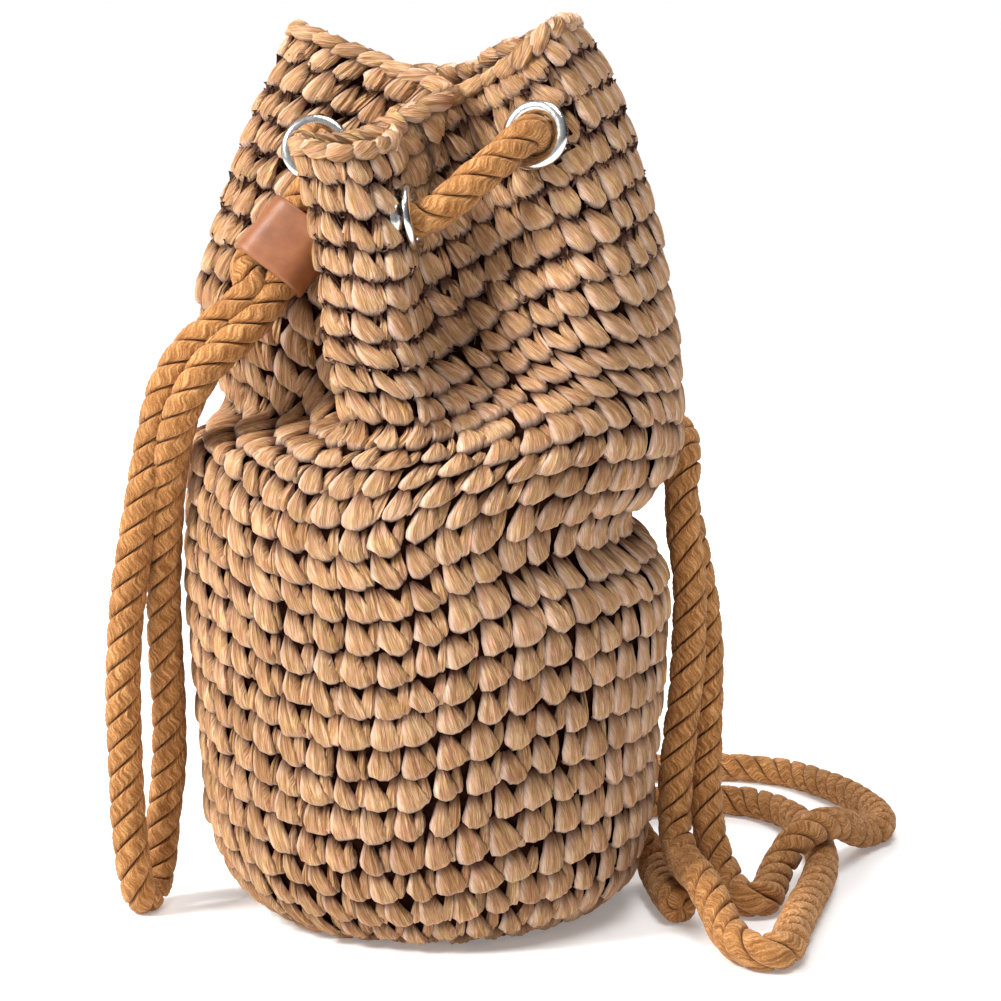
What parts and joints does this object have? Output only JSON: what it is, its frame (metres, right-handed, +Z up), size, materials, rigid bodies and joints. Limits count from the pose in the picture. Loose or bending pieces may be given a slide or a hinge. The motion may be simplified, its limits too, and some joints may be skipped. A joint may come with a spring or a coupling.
{
  "type": "woven straw backpack",
  "caption": "Crocheted straw bucket backpack standing on its base, mouth gathered by one thick twisted rope through metal eyelets, with a leather sleeve and two rope straps.",
  "frame": {"origin": "centre of the round base, on the surface that the bag stands on", "axes": "+Z up through the mouth, -Y toward the front with the leather sleeve and the pull loop, +X toward the side where the straps lie"},
  "size_m": [0.3526, 0.3448, 0.3728],
  "materials": {
    "straw": "flat paper straw, crocheted in the round, satin",
    "rope": "three-strand twisted cotton rope, matt",
    "eyelet_metal": "polished silver-coloured metal",
    "leather": "smooth tan leather, low sheen"
  },
  "bodies": {
    "root": {"bag_body": "straw", "eyelet_left_front": "eyelet_metal", "eyelet_bulge_left": "eyelet_metal", "eyelet_bulge_right": "eyelet_metal", "eyelet_right_front": "eyelet_metal", "eyelet_right_back": "eyelet_metal", "eyelet_left_back": "eyelet_metal", "eyelet_heel_right": "eyelet_metal", "eyelet_heel_left": "eyelet_metal", "eyelet_heel_side": "eyelet_metal", "pull_loop": "rope", "left_strap": "rope", "right_strap": "rope", "right_lacing": "rope", "left_lacing": "rope", "left_strap_end": "rope", "left_strap_knot": "rope", "right_strap_knot": "rope", "leather_sleeve": "leather"}
  },
  "joints": []
}
